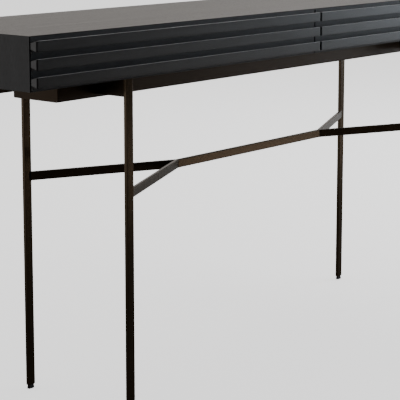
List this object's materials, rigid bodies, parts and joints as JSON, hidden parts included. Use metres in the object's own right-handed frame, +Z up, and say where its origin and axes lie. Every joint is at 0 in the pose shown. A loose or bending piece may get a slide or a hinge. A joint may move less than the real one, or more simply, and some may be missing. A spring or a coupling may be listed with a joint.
{
  "type": "writing desk with drawers",
  "caption": "Slim writing desk: a shallow mitred case with slatted drawers side by side, on a flat-bar frame with a forked stretcher.",
  "frame": {"origin": "on the floor under the middle of the desk's overall depth and length", "axes": "+X along the length to the sitter's right, -Y out of the drawer fronts, +Z up"},
  "size_m": [1.66, 0.368, 0.76],
  "materials": {
    "top_veneer": "charcoal-stained oak veneer, satin lacquer",
    "case_veneer": "charcoal-stained oak veneer, matt lacquer",
    "front_veneer": "charcoal-stained oak, matt lacquer",
    "birch_ply": "clear-lacquered birch plywood",
    "bronze_steel": "dark bronze satin powder coat",
    "zinc_steel": "bright zinc plate",
    "black_nylon": "moulded black nylon"
  },
  "bodies": {
    "case_and_frame": {"top_panel": "top_veneer", "bottom_panel": "case_veneer", "left_side_panel": "case_veneer", "right_side_panel": "case_veneer", "back_panel": "case_veneer", "centre_divider": "case_veneer", "main_beam": "bronze_steel", "left_beam_end_cap": "bronze_steel", "right_beam_end_cap": "bronze_steel", "front_left_bracket": "bronze_steel", "front_right_bracket": "bronze_steel", "rear_left_bracket": "bronze_steel", "rear_right_bracket": "bronze_steel", "front_left_leg": "bronze_steel", "front_right_leg": "bronze_steel", "rear_left_leg": "bronze_steel", "rear_right_leg": "bronze_steel", "front_left_arm": "bronze_steel", "front_right_arm": "bronze_steel", "rear_left_arm": "bronze_steel", "rear_right_arm": "bronze_steel", "long_stretcher": "bronze_steel", "leg_glides": "black_nylon", "bracket_screws": "zinc_steel", "cable_tray": "bronze_steel", "tray_screws": "zinc_steel", "runner_screws": "zinc_steel", "left_drawer_left_case_rail": "zinc_steel", "left_drawer_right_case_rail": "zinc_steel", "right_drawer_left_case_rail": "zinc_steel", "right_drawer_right_case_rail": "zinc_steel"},
    "left_middle_rails": {"left_drawer_left_middle_rail": "zinc_steel", "left_drawer_right_middle_rail": "zinc_steel"},
    "left_drawer": {"left_drawer_left_box_rail": "zinc_steel", "left_drawer_right_box_rail": "zinc_steel", "left_drawer_front": "front_veneer", "left_drawer_top_slat": "front_veneer", "left_drawer_middle_slat": "front_veneer", "left_drawer_bottom_slat": "front_veneer", "left_drawer_box_front": "birch_ply", "left_drawer_box_back": "birch_ply", "left_drawer_box_left_side": "birch_ply", "left_drawer_box_right_side": "birch_ply", "left_drawer_box_bottom": "birch_ply", "left_drawer_front_screws": "zinc_steel"},
    "right_middle_rails": {"right_drawer_left_middle_rail": "zinc_steel", "right_drawer_right_middle_rail": "zinc_steel"},
    "right_drawer": {"right_drawer_left_box_rail": "zinc_steel", "right_drawer_right_box_rail": "zinc_steel", "right_drawer_front": "front_veneer", "right_drawer_top_slat": "front_veneer", "right_drawer_middle_slat": "front_veneer", "right_drawer_bottom_slat": "front_veneer", "right_drawer_box_front": "birch_ply", "right_drawer_box_back": "birch_ply", "right_drawer_box_left_side": "birch_ply", "right_drawer_box_right_side": "birch_ply", "right_drawer_box_bottom": "birch_ply", "right_drawer_front_screws": "zinc_steel"}
  },
  "joints": [
    {"name": "left_drawer_slide", "type": "slide", "parent": "case_and_frame", "child": "left_drawer", "axis": [0, -1, 0], "range_m": [0, 0.27]},
    {"name": "left_middle_slide", "type": "slide", "parent": "case_and_frame", "child": "left_middle_rails", "axis": [0, -1, 0], "range_m": [0, 0.135]},
    {"name": "right_drawer_slide", "type": "slide", "parent": "case_and_frame", "child": "right_drawer", "axis": [0, -1, 0], "range_m": [0, 0.27]},
    {"name": "right_middle_slide", "type": "slide", "parent": "case_and_frame", "child": "right_middle_rails", "axis": [0, -1, 0], "range_m": [0, 0.135]}
  ],
  "couplings": [
    {"joint": "left_middle_slide", "follows": "left_drawer_slide", "ratio": 0.5},
    {"joint": "right_middle_slide", "follows": "right_drawer_slide", "ratio": 0.5}
  ]
}
